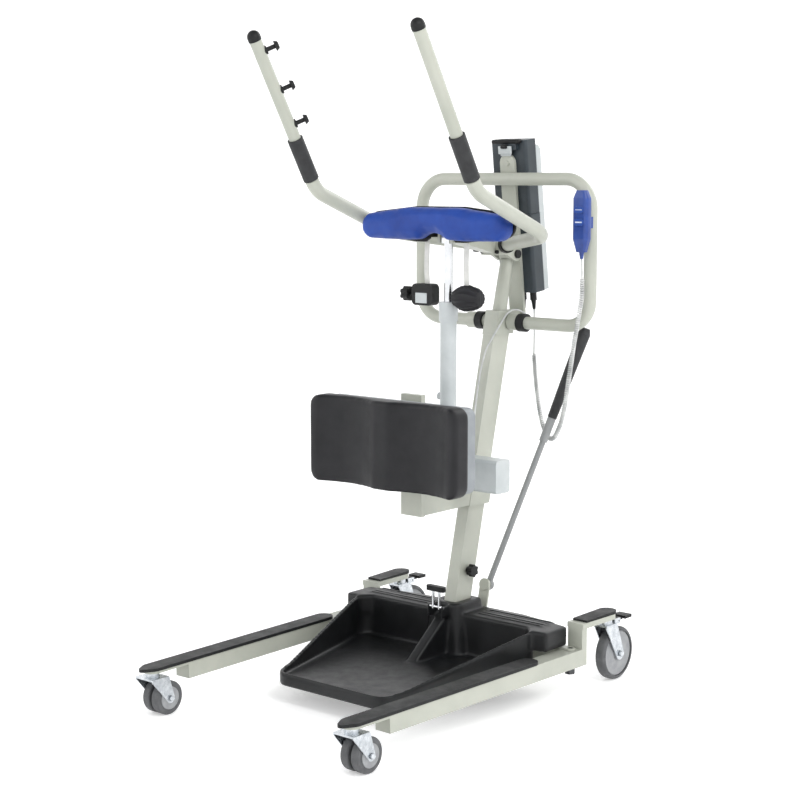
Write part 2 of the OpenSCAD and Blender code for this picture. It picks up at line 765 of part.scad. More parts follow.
module knee_backplate() {
    d0 = knee_front_d + knee_t;
    d1 = d0 + backplate_t;
    jaw_z = [knee_z - 55, knee_z + 55];
    color("#8d9296") {
        translate([0, at_y(d1), knee_z]) rotate([90, 0, 0]) linear_extrude(backplate_t)
            rounded_rect(knee_w - 14, knee_h - 10, 20);
        difference() {
            block([-rail_w / 2 - 11, d1 - over, jaw_z[0]], [rail_w / 2 + 11, arm_front_d + 8, jaw_z[1]]);
            block([-rail_w / 2 - gap, arm_front_d - rail_t - gap, jaw_z[0] - over],
                [rail_w / 2 + gap, arm_front_d + gap, jaw_z[1] + over]);
        }
    }
}

// Plan outline of the pad: two shallow hollows for the shins, a rib between them
module knee_plan() {
    hollow_r = 190;
    difference() {
        translate([-knee_w / 2, -knee_t]) square([knee_w, knee_t]);
        for (side = [-1, 1]) translate([side * knee_w / 4, -knee_t - hollow_r + 20]) circle(r = hollow_r, $fn = 96);
    }
}

module knee_pad() {
    color("#2a2b2e") translate([0, at_y(knee_front_d + knee_t), knee_z]) intersection() {
        translate([0, 0, -knee_h / 2]) linear_extrude(knee_h) knee_plan();
        rotate([90, 0, 0]) linear_extrude(knee_t) rounded_rect(knee_w, knee_h, 26);
    }
}

// ---------- Actuator ----------

module actuator_tube() {
    color("lightgray") translate([0, at_y(act_d), 0]) difference() {
        union() {
            translate([0, 0, gear_top_z]) cylinder(d = act_tube_d, h = act_top_z - gear_top_z);
            translate([0, 0, act_top_z - 44]) cylinder(d = act_tube_d + 6, h = 44);
        }
        translate([0, 0, gear_top_z + 6]) cylinder(d = rod_d + 2 * slip, h = act_top_z);
    }
    color("lightgray") translate([-button_x, at_y(act_d), button_z]) rotate([0, 90, 0]) difference() {
        cylinder(d = 17, h = button_x - act_tube_d / 2 + 3);
        translate([0, 0, -over]) cylinder(d = button_d + gap, h = 6 + over);
    }
}

module actuator_motor() {
    color("lightgray") {
        difference() {
            union() {
                block([-12, act_d - 12, act_pin_z - 12], [12, act_d + 12, gear_z + over]);
                block([-30, act_d - motor_w / 2, gear_z], [30 + over, act_d + motor_w / 2, gear_top_z]);
            }
            cross_bar(-20, 20, act_d, act_pin_z, pin_d + 2 * slip);
        }
        translate([0, 0, motor_z + motor_h / 2]) translate([30, at_y(act_d), 0]) rotate([90, 0, 90])
            linear_extrude(motor_x - 30) rounded_rect(motor_w, motor_h, 8);
        translate([52, at_y(act_d + 6), motor_z + motor_h - over]) cylinder(d = 10, h = 5);
    }
}

module actuator_pin() {
    color("silver") {
        cross_bar(-22, 22, act_d, act_pin_z, pin_d);
        for (x = [-26, 19]) cross_bar(x, x + 7, act_d, act_pin_z, pin_d + 6);
    }
}

module actuator_rod() {
    rod_low_z = 680;
    color("silver") {
        translate([0, at_y(act_d), rod_low_z]) cylinder(d = rod_d, h = rod_pin_z - 12 - rod_low_z);
        difference() {
            block([-11, act_d - 12, rod_pin_z - 14], [11, act_d + 12, rod_pin_z + 12]);
            cross_bar(-12, 12, act_d, rod_pin_z, pin_d);
        }
    }
}

module release_button() {
    color("#b3261e") translate([-button_x - 2, at_y(act_d), button_z]) rotate([0, 90, 0])
        cylinder(d = button_d, h = 6);
}

// ---------- Boom and arms ----------

module saddle() {
    back_d = hinge_d - 30;
    color("gainsboro") {
        difference() {
            block([-saddle_w / 2, saddle_d - 20, saddle_z - 22], [saddle_w / 2, back_d, saddle_z + 22]);
            for (side = [-1, 1]) arm_root_rod(side, 0, 60, arm_tube_d);
        }
        difference() {
            for (x = [-saddle_w / 2, 18]) {
                hull() {
                    cross_bar(x, x + saddle_w / 2 - 18, hinge_d, hinge_z, eye_d);
                    block([x, back_d - 4, hinge_z - 2], [x + saddle_w / 2 - 18, back_d - 2, saddle_z + 20]);
                }
            }
            cross_bar(-saddle_w, saddle_w, hinge_d, hinge_z, pin_d + 2);
        }
        cross_bar(-saddle_w / 2, saddle_w / 2, hinge_d, hinge_z, pin_d + 2);
    }
}

// A round stretch about the root of an arm, from one distance along it to another
module arm_root_rod(side, from, to, dia) {
    p = placed(arm_corners);
    v = unit(p[1] - p[0]);
    mirror([side < 0 ? 1 : 0, 0, 0]) rod(p[0] + from * v, p[0] + to * v, dia);
}

// Rings round the arms, bolt heads on the saddle's front and caps on the ends of its hinge pin
module saddle_fittings() {
    color("#1f2022") for (side = [-1, 1]) {
        difference() {
            arm_root_rod(side, 24, 36, arm_tube_d + 8);
            arm_root_rod(side, 24 - over, 36 + over, arm_tube_d);
        }
        translate([side * 22, at_y(saddle_d - 20), saddle_z - 14]) rotate([90, 0, 0]) cylinder(d = 9, h = 5);
        cross_bar(side * (saddle_w / 2 + 3) - 3, side * (saddle_w / 2 + 3) + 3, hinge_d, hinge_z, 20);
    }
}

module boom_bar() {
    d0 = saddle_d - 20;
    color("gainsboro") {
        hull() {
            block([-15, d0 - 2, saddle_z - 18], [15, d0, saddle_z + 12]);
            block([-21, act_d + 28, rod_pin_z - 14], [21, act_d + 34, rod_pin_z + 14]);
        }
        for (side = [-1, 1]) {
            block([side * 18 - 3, act_d - 14, rod_pin_z - 13], [side * 18 + 3, act_d + 30, rod_pin_z + 13]);
            block([side * 31 - 16, backing_end_d, rod_pin_z], [side * 31 + 16, backing_end_d + 6, chest_z + 24]);
            cross_bar(side * 24 - 3, side * 24 + 3, act_d, rod_pin_z, 14);
        }
        block([-16, backing_end_d, rod_pin_z + 28], [16, backing_end_d + 6, chest_z + 24]);
    }
}

arm_root = placed(arm_corners)[3];
arm_run = placed([arm_tip])[0] - arm_root;

// Places its children on an arm's straight upper part, a distance above its root
module on_arm(side, l) {
    v = unit(arm_run);
    mirror([side < 0 ? 1 : 0, 0, 0]) translate(arm_root + l * v)
        rotate([-atan2(v[1], v[2]), 0, 0]) children();
}

module arm_tubes() {
    color("gainsboro") for (side = [-1, 1]) {
        mirror([side < 0 ? 1 : 0, 0, 0]) swept(bent(placed(arm_corners), arm_bend_r, 7), arm_tube_d / 2, 24);
        on_arm(side, 0) cylinder(d = arm_top_d, h = norm(arm_run));
    }
}

module arm_grips() {
    color("#222325") for (side = [-1, 1]) on_arm(side, 2) difference() {
        cylinder(d = arm_tube_d + 4, h = grip_l);
        translate([0, 0, -over]) cylinder(d = arm_top_d, h = grip_l + 2 * over);
    }
}

module arm_end_caps() {
    color("#222325") for (side = [-1, 1]) on_arm(side, norm(arm_run)) {
        cylinder(d = arm_top_d + 2, h = 8);
        translate([0, 0, 8]) intersection() {
            sphere(d = arm_top_d + 2);
            cylinder(d = arm_top_d + 2, h = arm_top_d);
        }
    }
}

// Mushroom-headed pegs for the sling, pointing inwards and back
module sling_pegs() {
    color("#222325") for (side = [-1, 1]) for (share = peg_shares)
        on_arm(side, share * norm(arm_run)) difference() {
            rotate([0, 0, -52]) rotate([0, -90, 0]) {
                translate([0, 0, arm_top_d / 2 - 5]) cylinder(d = 20, h = 7.5);
                translate([0, 0, arm_top_d / 2]) cylinder(d = 10, h = 24);
                translate([0, 0, arm_top_d / 2 + 22]) cylinder(d1 = 24, d2 = 16, h = 8);
            }
            translate([0, 0, -arm_top_d]) cylinder(d = arm_top_d, h = 2 * arm_top_d);
        }
}

module pad_corner(x, z, r, d, t) {
    translate([x, at_y(d + t / 2), chest_z + z]) rotate([90, 0, 0]) cylinder(r = r, h = t, center = true, $fn = 32);
}

// Plate with the chest pad's outline, highest in the middle and hollow under it, grown by a rim
module pad_outline(d, t, rim) {
    end_r = chest_end_h / 2 - 2;
    difference() {
        hull() for (side = [-1, 1]) for (up = [-1, 1]) {
            pad_corner(side * chest_mid_x, up * (chest_h / 2 - 20), 20 + rim, d, t);
            pad_corner(side * (chest_x - end_r), up * 2, end_r + rim, d, t);
        }
        translate([0, at_y(d - over), chest_z - chest_h / 2 - 60]) rotate([-90, 0, 0])
            cylinder(d = 150 - 2 * rim, h = t + 2 * over);
    }
}

// Black backing: a plate that edges the pad, and a block behind it that is hollowed for the boom
module chest_backing() {
    d0 = chest_front_d + chest_t;
    color("#1d1e20") difference() {
        union() {
            pad_outline(d0, backing_plate_t, 2.5);
            hull() {
                block([-chest_mid_x - 10, d0, chest_z - backing_h / 2], [chest_mid_x + 10, backing_end_d, chest_z + backing_h / 2]);
                block([-chest_x + 18, d0, chest_z - chest_end_h / 2 + 8], [chest_x - 18, d0 + 14, chest_z + chest_end_h / 2 - 8]);
            }
        }
        block([-32, d0 - over, chest_z - backing_h], [32, backing_end_d + over, chest_z + 10]);
    }
}

module chest_pad() {
    color("#2f4fb0") pad_outline(chest_front_d, chest_t, 0);
}

// Webbing tails that hang from the chest pad's backing
module strap_tails() {
    color("whitesmoke") for (side = [-1, 1])
        block([side * strap_x - strap_w / 2, act_d - 8, strap_end_z],
            [side * strap_x + strap_w / 2, act_d - 5, chest_z - backing_h / 2]);
}

// Gathered black pouch on the +X tail
module strap_pouch() {
    r = pouch_r;
    color("#202124") translate([strap_x + 2, at_y(act_d - 6), strap_end_z - r]) rotate([0, 90, 0]) {
        translate([0, 0, -36]) cylinder(r1 = r - 10, r2 = r, h = 12);
        translate([0, 0, -24]) cylinder(r = r, h = 46);
        translate([0, 0, 22]) cylinder(r1 = r, r2 = r - 12, h = 16);
    }
}

// Black clamp on the -X tail, with the stud of its knob
module strap_clamp() {
    color("#202124") translate([clamp_x, at_y(act_d - 6), clamp_z]) {
        rotate([90, 0, 0]) linear_extrude(26, center = true) rounded_rect(clamp_w, clamp_h, 12);
        translate([-clamp_w / 2 - clamp_stud_l, 0, 0]) rotate([0, 90, 0])
            cylinder(d = clamp_stud_d, h = clamp_stud_l + over);
    }
}

module clamp_knob() {
    hole_l = 14;
    color("#1b1c1e") translate([clamp_x - clamp_w / 2 - clamp_stud_l + hole_l - gap, at_y(act_d - 6), clamp_z])
        rotate([0, -90, 0]) difference() {
            star_knob(34, 20);
            translate([0, 0, -over]) cylinder(d = clamp_stud_d + 2 * slip, h = hole_l + over);
        }
}

// ---------- Push handle ----------

module quarter_bend(r) {
    rotate_extrude(angle = 90) translate([r, 0]) circle(d = handle_d);
}

module push_handle() {
    top_r = 70;
    low_r = 60;
    y = at_y(handle_dist);
    color("gainsboro") {
        cross_bar(-handle_x + top_r, handle_x - top_r, handle_dist, handle_top_z, handle_d);
        cross_bar(-handle_x + low_r, handle_x - low_r, handle_dist, handle_low_z, handle_d);
        for (side = [-1, 1]) mirror([side < 0 ? 1 : 0, 0, 0]) {
            translate([handle_x, y, handle_low_z + low_r])
                cylinder(d = handle_d, h = handle_top_z - handle_low_z - low_r - top_r);
            translate([handle_x - top_r, y, handle_top_z - top_r]) rotate([90, 0, 0]) quarter_bend(top_r);
            translate([handle_x - low_r, y, handle_low_z + low_r]) rotate([-90, 0, 0]) quarter_bend(low_r);
        }
        for (x = [-100, 24.5]) difference() {
            cross_bar(x, x + 26, handle_dist, handle_low_z, handle_d + 9);
            cross_bar(x - over, x + 26 + over, handle_dist, handle_low_z, handle_d);
        }
    }
}

module handle_rings() {
    color("#1f2022") for (x = [-72, 51]) difference() {
        cross_bar(x, x + 20, handle_dist, handle_low_z, handle_d + 13);
        cross_bar(x - over, x + 20 + over, handle_dist, handle_low_z, handle_d);
    }
}

// ---------- Control box ----------

module at_box() {
    translate([0, at_y(post_foot_d), post_foot_z]) rotate([box_lean, 0, 0]) children();
}

module box_post() {
    color("gainsboro") at_box() translate([0, 0, 0]) rotate([90, 0, 0]) linear_extrude(post_t) union() {
        translate([-post_w / 2, 10]) square([post_w, post_l - 10 - post_w / 2]);
        translate([0, post_l - post_w / 2]) circle(d = post_w);
    }
    color("gainsboro") at_box() translate([0, -post_t, post_l - post_w / 2]) rotate([90, 0, 0]) cylinder(d = 12, h = 3);
}

module box_shell(low, high, inset) {
    translate([0, box_t / 2, low]) linear_extrude(high - low) rounded_rect(box_w - 2 * inset, box_t - 2 * inset, 8);
}

module control_box() {
    color("#3d474f") at_box() difference() {
        box_shell(box_low, box_split, 0);
        for (x = plug_x) translate([x, box_t / 2, box_low - over]) cylinder(d = 12, h = 9);
    }
}

module battery() {
    color("#3a434b") at_box() {
        box_shell(box_split + gap, box_high, gap / 2);
        translate([-30, -9, box_high - 22]) cube([60, 12, 16]);
    }
}

module box_back_cover() {
    top = box_high - 16;
    color("whitesmoke") at_box() translate([-46, 0, 0]) rotate([90, 0, 90]) linear_extrude(92) polygon([
        [box_t, box_low], [box_t + cover_t, box_low], [box_t + cover_t, top - 10], [box_t + cover_t - 10, top],
        [box_t + gap, top], [box_t + gap, box_split], [box_t, box_split]]);
}

// ---------- Handset ----------

module handset_key(z, y0, y1, grow) {
    translate([handle_x, at_y(handset_d - handset_t / 2) + y0, handset_z + z]) rotate([-90, 0, 0])
        linear_extrude(y1 - y0) rounded_rect(24 + 2 * grow, 16 + 2 * grow, 5 + grow);
}

module handset() {
    color("#2d4cab") difference() {
        translate([handle_x, at_y(handset_d), handset_z]) {
            hull() {
                translate([0, 0, 30]) linear_extrude(handset_l - 48) rounded_rect(handset_w, handset_t, 10);
                translate([0, 0, handset_l - over]) linear_extrude(over) rounded_rect(handset_w - 16, handset_t - 8, 6);
                linear_extrude(over) rounded_rect(handset_w - 18, handset_t - 8, 6);
            }
            translate([-12, handset_t / 2 - over, 54])
                cube([24, handle_dist - handset_d - handset_t / 2 + over - 6, 26]);
            translate([0, 0, -15]) cylinder(d1 = 7, d2 = 12, h = 15);
        }
        translate([handle_x, at_y(handle_dist), handset_z]) cylinder(d = handle_d, h = handset_l);
        for (z = key_z) handset_key(z, -over, key_depth, gap / 2);
    }
}

module handset_button(z) {
    color("#23397f") handset_key(z, -key_travel, key_depth - key_travel - 0.5, 0);
}

module cord_plugs() {
    color("#232426") at_box() for (x = plug_x) translate([x, box_t / 2, 0]) {
        translate([0, 0, box_low - 22]) cylinder(d = 16, h = 22);
        translate([0, 0, box_low]) cylinder(d = 10, h = 7);
        translate([0, 0, box_low - 44]) cylinder(d1 = 7, d2 = 12, h = 22);
    }
}

// ---------- Spreader lever ----------

module spreader_lever() {
    color("gray") at_lever() rotate([0, lever_side, 0]) {
        difference() {
            rotate([-90, 0, 0]) cylinder(d = 26, h = 12);
            rotate([-90, 0, 0]) translate([0, 0, -over]) cylinder(d = 10 + 2 * slip, h = 20);
        }
        translate([0, 6, 10]) cylinder(d = lever_d, h = lever_l - lever_grip_l - 10);
        translate([0, 6, lever_l - lever_grip_l - 60]) cylinder(d = lever_d + 6, h = 60);
        translate([0, 6, lever_l - lever_grip_l]) cylinder(d = lever_d - 2, h = lever_grip_l - 20);
    }
}

module lever_grip() {
    color("#1d1e20") at_lever() rotate([0, lever_side, 0]) translate([0, 6, lever_l - lever_grip_l]) difference() {
        union() {
            cylinder(d1 = 22, d2 = 30, h = lever_grip_l - 14);
            translate([0, 0, lever_grip_l - 14]) cylinder(d1 = 30, d2 = 20, h = 14);
        }
        translate([0, 0, -over]) cylinder(d = lever_d - 2, h = lever_grip_l - 20 + over);
    }
}

// ---------- Leads ----------

module lead(points, steps, dia, sides) {
    color("silver") swept(smooth(placed(points), steps), dia / 2, sides);
}

base_frame();
leg(1);  // leg_right
leg(-1);  // leg_left
leg_caps(1);  // leg_caps_right
leg_caps(-1);  // leg_caps_left
pivot_bolts();
front_fork(1);  // front_fork_right
front_fork(-1);  // front_fork_left
front_wheels(1);  // front_wheels_right
front_wheels(-1);  // front_wheels_left
rear_fork(1);  // rear_fork_right
rear_fork(-1);  // rear_fork_left
rear_tyre(1);  // rear_tyre_right
rear_tyre(-1);  // rear_tyre_left
rear_hub(1);  // rear_hub_right
rear_hub(-1);  // rear_hub_left
brake_pedal(1);  // brake_pedal_right
brake_pedal(-1);  // brake_pedal_left
handset_button(key_z[1]);  // button_up
handset_button(key_z[0]);  // button_down
lead(actuator_lead, 2, lead_d, 8);  // actuator_cable
lead(handset_lead_top, 2, lead_d, 8);  // handset_cord_top
lead(handset_curl, 2, curl_d, 12);  // handset_cord_curl
lead(handset_lead_end, 2, lead_d, 8);  // handset_cord_end
footplate();
footplate_latch();
latch_rods();
mast();
mast_knob();
mast_head();
support_arm();
knee_backplate();
knee_pad();
actuator_tube();
actuator_motor();
actuator_pin();
actuator_rod();
release_button();
saddle();
saddle_fittings();
boom_bar();
arm_tubes();
arm_grips();
arm_end_caps();
sling_pegs();
chest_backing();
chest_pad();
strap_tails();
strap_pouch();
strap_clamp();
clamp_knob();
push_handle();
handle_rings();
box_post();
control_box();
battery();
box_back_cover();
handset();
cord_plugs();
spreader_lever();
lever_grip();
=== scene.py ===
# A sit-to-stand patient lift, dressed from its base up: each section below is one piece or group of pieces.
import math
import bpy
import bmesh
from mathutils import Vector, Matrix


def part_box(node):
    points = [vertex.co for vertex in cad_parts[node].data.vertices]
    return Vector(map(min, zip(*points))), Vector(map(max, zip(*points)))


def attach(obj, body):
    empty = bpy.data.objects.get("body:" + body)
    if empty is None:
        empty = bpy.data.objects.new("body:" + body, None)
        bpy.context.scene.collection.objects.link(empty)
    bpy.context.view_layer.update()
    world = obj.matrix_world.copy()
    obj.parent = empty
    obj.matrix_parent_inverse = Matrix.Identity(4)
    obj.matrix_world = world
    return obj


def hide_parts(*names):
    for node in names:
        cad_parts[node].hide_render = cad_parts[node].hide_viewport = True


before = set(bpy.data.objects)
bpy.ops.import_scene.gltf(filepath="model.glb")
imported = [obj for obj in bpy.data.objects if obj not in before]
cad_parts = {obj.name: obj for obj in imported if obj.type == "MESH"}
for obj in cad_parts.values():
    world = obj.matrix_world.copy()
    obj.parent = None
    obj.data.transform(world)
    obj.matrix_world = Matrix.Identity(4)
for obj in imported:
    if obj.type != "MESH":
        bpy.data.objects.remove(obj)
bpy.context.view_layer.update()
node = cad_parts
MM = 0.001


def linked(name, data):
    """A new object for this data, in the scene."""
    piece = bpy.data.objects.new(name, data)
    bpy.context.scene.collection.objects.link(piece)
    return piece


# ---------------------------------------------------------------- Camera
# A camera at adult chest height in front of the lift, off its handset side, looking slightly down.
# The lift's front caster axles are the zero of its lengthwise places, so the camera is put from them.
axle_y = -0.44915
camera_data = bpy.data.cameras.new("camera")
camera_data.sensor_width = 36.0
camera_data.lens = 77.4
camera = linked("camera", camera_data)
camera.location = (2.4808, -2.4454 + axle_y, 1.1641)
camera.rotation_euler = (math.radians(82.65), 0.0, math.radians(40.49))
bpy.context.scene.camera = camera


# ---------------------------------------------------------------- Materials
def linear(hex_colour):
    parts = [int(hex_colour[i:i + 2], 16) / 255 for i in (0, 2, 4)]
    return tuple(c / 12.92 if c <= 0.04045 else ((c + 0.055) / 1.055) ** 2.4 for c in parts) + (1.0,)


def put(tree, kind, inputs=None, **settings):
    """Adds a shader node with its settings; an input is a value or another node's output."""
    made = tree.nodes.new("ShaderNode" + kind)
    for name, value in settings.items():
        setattr(made, name, value)
    for key, value in (inputs or {}).items():
        if isinstance(value, bpy.types.NodeSocket):
            tree.links.new(value, made.inputs[key])
        else:
            made.inputs[key].default_value = value
    return made


def new_material(name, roughness, metallic=0.0, **sockets):
    material = bpy.data.materials.new(name)
    material.use_nodes = True
    shader = material.node_tree.nodes["Principled BSDF"]
    shader.inputs["Roughness"].default_value = roughness
    shader.inputs["Metallic"].default_value = metallic
    for socket, value in sockets.items():
        shader.inputs[socket.replace("_", " ")].default_value = value
    return material, material.node_tree, shader



def per_mm(size_mm):
    """A texture scale whose features are about this many millimetres."""
    return 1.0 / (size_mm * MM)


def mottled(tree, shader, place, light, dark, patch_mm):
    """Colour that drifts between two close shades in soft patches."""
    cloud = put(tree, "TexNoise", {"Vector": place, "Scale": per_mm(patch_mm),
                                   "Detail": 4.0, "Roughness": 0.6})
    blend = put(tree, "ValToRGB", {"Fac": cloud.outputs["Fac"]})
    blend.color_ramp.elements[0].position = 0.35
    blend.color_ramp.elements[0].color = linear(dark)
    blend.color_ramp.elements[1].position = 0.65
    blend.color_ramp.elements[1].color = linear(light)
    tree.links.new(blend.outputs["Color"], shader.inputs["Base Color"])


def raised(tree, shader, height, depth_mm, strength):
    """Relief from a height pattern."""
    bump = put(tree, "Bump", {"Height": height, "Distance": depth_mm * MM, "Strength": strength})
    tree.links.new(bump.outputs["Normal"], shader.inputs["Normal"])


def grained(tree, shader, place, grain_mm, depth_mm, strength=1.0):
    """A fine raised grain."""
    grain = put(tree, "TexNoise", {"Vector": place, "Scale": per_mm(grain_mm), "Detail": 3.0})
    raised(tree, shader, grain.outputs["Fac"], depth_mm, strength)


def pebbled(tree, shader, place, pebble_mm, depth_mm, strength):
    """A leather-like pebble of rounded cells."""
    pebble = put(tree, "TexVoronoi", {"Vector": place, "Scale": per_mm(pebble_mm), "Randomness": 1.0})
    raised(tree, shader, pebble.outputs["Distance"], depth_mm, strength)


def uneven_gloss(tree, shader, place, low, high, patch_mm):
    """Roughness that varies with handling and wiping."""
    rub = put(tree, "TexNoise", {"Vector": place, "Scale": per_mm(patch_mm),
                                 "Detail": 5.0, "Roughness": 0.65})
    span = put(tree, "MapRange", {"Value": rub.outputs["Fac"], "From Min": 0.3, "From Max": 0.7,
                                  "To Min": low, "To Max": high})
    tree.links.new(span.outputs["Result"], shader.inputs["Roughness"])


def object_place(tree):
    return put(tree, "TexCoord").outputs["Object"]


def surface(name, light, dark, patch_mm, roughness, grain=None, pebble=None, gloss=None, **sockets):
    """A material in two close shades. grain and pebble are size and depth in millimetres, then strength;
    gloss is the lowest and highest roughness and the patches' size in millimetres."""
    material, tree, shader = new_material(name, roughness, **sockets)
    place = object_place(tree)
    mottled(tree, shader, place, light, dark, patch_mm)
    if grain:
        grained(tree, shader, place, *grain)
    if pebble:
        pebbled(tree, shader, place, *pebble)
    if gloss:
        uneven_gloss(tree, shader, place, *gloss)
    return material


# ---------------------------------------------------------------- Leads
# PVC-sheathed cable, extruded smooth and slightly glossy. The actuator's lead hangs from the control box
# round the mast's head and down behind the actuator to its motor; the handset's is coiled like a telephone
# cord along most of its length, with a straight tail at the box and at the handset.
def pvc_sheath(name, shade):
    return surface(name, shade, "a9abab", 30, 0.42, grain=(1.2, 0.03), IOR=1.53, Coat_Weight=0.1)


def catmull(points, steps):
    """The smooth curve through the given points that the leads' solids follow too."""
    p = [Vector(q) for q in points]
    out = []
    for i in range(len(p) - 1):
        a, b, c, d = p[max(i - 1, 0)], p[i], p[i + 1], p[min(i + 2, len(p) - 1)]
        for k in range(steps):
            t = k / steps
            out.append(0.5 * (2 * b + (c - a) * t + (2 * a - 5 * b + 4 * c - d) * t * t
                              + (3 * b - 3 * c + d - a) * t * t * t))
    return out + [p[-1]]


def placed(points):
    """Lead points given as x, distance behind the front axles and height, in millimetres."""
    return [(x * MM, axle_y + d * MM, z * MM) for x, d, z in points]


def run_length(points):
    return sum((Vector(b) - Vector(a)).length for a, b in zip(points, points[1:]))


def lead_curve(name, points, diameter, material):
    data = bpy.data.curves.new(name, "CURVE")
    data.dimensions = "3D"
    data.bevel_depth = diameter / 2
    data.bevel_resolution = 4
    data.use_fill_caps = True
    spline = data.splines.new("POLY")
    spline.points.add(len(points) - 1)
    for at, p in zip(spline.points, points):
        at.co = (*p, 1.0)
    spline.use_smooth = True
    data.materials.append(material)
    return linked(name, data)


grey_pvc = pvc_sheath("grey_pvc", "c9cbca")
pale_pvc = pvc_sheath("pale_pvc", "dcdddb")
lead_d = 4 * MM

actuator_route = placed([
    (0, 925, 850), (2, 927, 836), (14, 926, 826), (27, 916, 826), (32, 900, 833),
    (32, 880, 844), (31, 858, 852), (30, 835, 852), (30, 812, 842), (29, 790, 820), (22, 774, 795),
    (10, 762, 762), (2, 754, 720), (0, 744, 672), (3, 731, 626), (12, 712, 590), (26, 690, 566),
    (40, 668, 554), (49, 650, 548), (52, 640, 542), (52, 638, 534.6)])
actuator_points = catmull(actuator_route, 6)
actuator_lead = lead_curve("actuator_lead", actuator_points, lead_d, grey_pvc)
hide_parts("actuator_cable")
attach(actuator_lead, "base")

tail_top = catmull(placed([
    (30, 925, 850), (30, 926, 825), (32, 924, 795), (36, 918, 768), (40, 912, 745)]), 6)
curl_route = catmull(placed([
    (40, 912, 745), (44, 910, 715), (50, 907, 680), (60, 902, 640), (74, 894, 600),
    (92, 885, 568), (113, 874, 550), (135, 863, 552), (155, 852, 572), (172, 843, 600), (187, 835, 640),
    (200, 828, 690), (212, 822, 740), (224, 816, 790), (236, 810, 830), (244, 806, 860),
    (249, 804, 880), (252, 803, 905), (252, 803, 940)]), 24)
tail_end = catmull(placed([(252, 803, 940), (251, 803, 965), (250, 803, 982)]), 6)


def curled(route, wire, outer, pitch, steps_per_turn):
    """A helix of the wire round a route, opening from the route's line over its first and last turn."""
    length = run_length(route)
    turns = round(length / pitch)
    total = turns * steps_per_turn
    stations, walked = [0.0], 0.0
    for a, b in zip(route, route[1:]):
        walked += (b - a).length
        stations.append(walked)
    side = Vector((1.0, 0.0, 0.0))
    out, i = [], 0
    for k in range(total + 1):
        s = length * k / total
        while i < len(route) - 2 and stations[i + 1] < s:
            i += 1
        t = (route[i + 1] - route[i]).normalized()
        centre = route[i] + t * (s - stations[i])
        side = (side - side.dot(t) * t).normalized()
        up = t.cross(side)
        opening = min(1.0, s / pitch, (length - s) / pitch)
        angle = 2 * math.pi * k / steps_per_turn
        radius = (outer - wire) / 2 * max(opening, 0.0)
        out.append(centre + radius * (math.cos(angle) * side + math.sin(angle) * up))
    return out


curl_pitch = 5.2 * MM
curl_d = 11.6 * MM
handset_points = tail_top[:-1] + curled(curl_route, lead_d, curl_d, curl_pitch, 12) + tail_end[1:]
handset_lead = lead_curve("handset_lead", handset_points, lead_d, pale_pvc)
handset_lead.data.bevel_resolution = 2
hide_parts("handset_cord_top", "handset_cord_curl", "handset_cord_end")
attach(handset_lead, "base")


# ---------------------------------------------------------------- Steel frame
# Welded mild steel tube: legs, cross beam, mast, boom, arms, handle and box post. It is blasted and
# powder coated a warm pale grey: a satin skin with a fine orange-peel ripple, a little duller in patches.
def powder_coat(name, light, dark):
    # The real peel is about 1 mm across; it is drawn at 3 mm so that it shows.
    return surface(name, light, dark, 180, 0.38, grain=(3.0, 0.05, 0.6), gloss=(0.3, 0.46, 60),
                   IOR=1.5, Coat_Weight=0.12, Coat_Roughness=0.3)


def dress(material, *names, edge=0.0):
    """Gives CAD nodes a material, and rounds their sharp edges by the width given, if any."""
    for name in names:
        piece = node[name]
        if not piece.data.materials:
            piece.data.materials.append(material)
        for held in piece.material_slots:
            held.material = material
        if edge:
            soften = piece.modifiers.new("softened_edges", "BEVEL")
            soften.width = edge
            soften.segments = 2
            soften.limit_method = "ANGLE"
            soften.angle_limit = math.radians(35)
            soften.use_clamp_overlap = True
            soften.harden_normals = True


putty_coat = powder_coat("putty_powder_coat", "b6b8ad", "a9aca1")
dress(putty_coat, "base_frame", "leg_right", "leg_left", "mast", "mast_head", "support_arm", "saddle",
      "boom_bar", "box_post", edge=1.2 * MM)
dress(putty_coat, "arm_tubes", "push_handle")


# ---------------------------------------------------------------- Black mouldings
# Glass-filled polypropylene, injection moulded with a spark-eroded texture: leg covers, pedals, knobs,
# pegs and plugs. It looks almost black, with a broken, soft highlight.
def moulded_black(name, light, dark, grain_mm, rough=(0.42, 0.6)):
    return surface(name, light, dark, 70, 0.5, grain=(grain_mm, 0.12, 0.7), gloss=(*rough, 35),
                   IOR=1.49, Specular_IOR_Level=0.34)


black_pp = moulded_black("black_polypropylene", "18191a", "101112", 1.6)
dress(black_pp, "leg_caps_right", "leg_caps_left", "brake_pedal_right", "brake_pedal_left", "footplate_latch",
      "strap_clamp", "chest_backing", edge=1.5 * MM)
dress(black_pp, "cord_plugs", edge=0.8 * MM)
dress(black_pp, "mast_knob", "clamp_knob", "sling_pegs", "handle_rings", "saddle_fittings", edge=0.8 * MM)
dress(black_pp, "arm_end_caps")


# ---------------------------------------------------------------- Footplate
# One large rotation-moulded tray of textured black polypropylene, with generous radii everywhere. It
# drops over the mast's foot and rests on the cross beam; a ribbed shelf runs behind its wells.
def evaluated_copy(name, source, modifiers):
    """A new object from a source mesh with modifiers worked in, each given as (kind, settings)."""
    piece = linked(name, source.data.copy())
    for kind, settings in modifiers:
        m = piece.modifiers.new(kind.lower(), kind)
        for key, value in settings.items():
            setattr(m, key, value)
    bpy.context.view_layer.update()
    worked = bpy.data.meshes.new_from_object(piece.evaluated_get(bpy.context.evaluated_depsgraph_get()))
    piece.modifiers.clear()
    piece.data = worked
    worked.materials.clear()
    for face in worked.polygons:
        face.use_smooth = True
    return piece


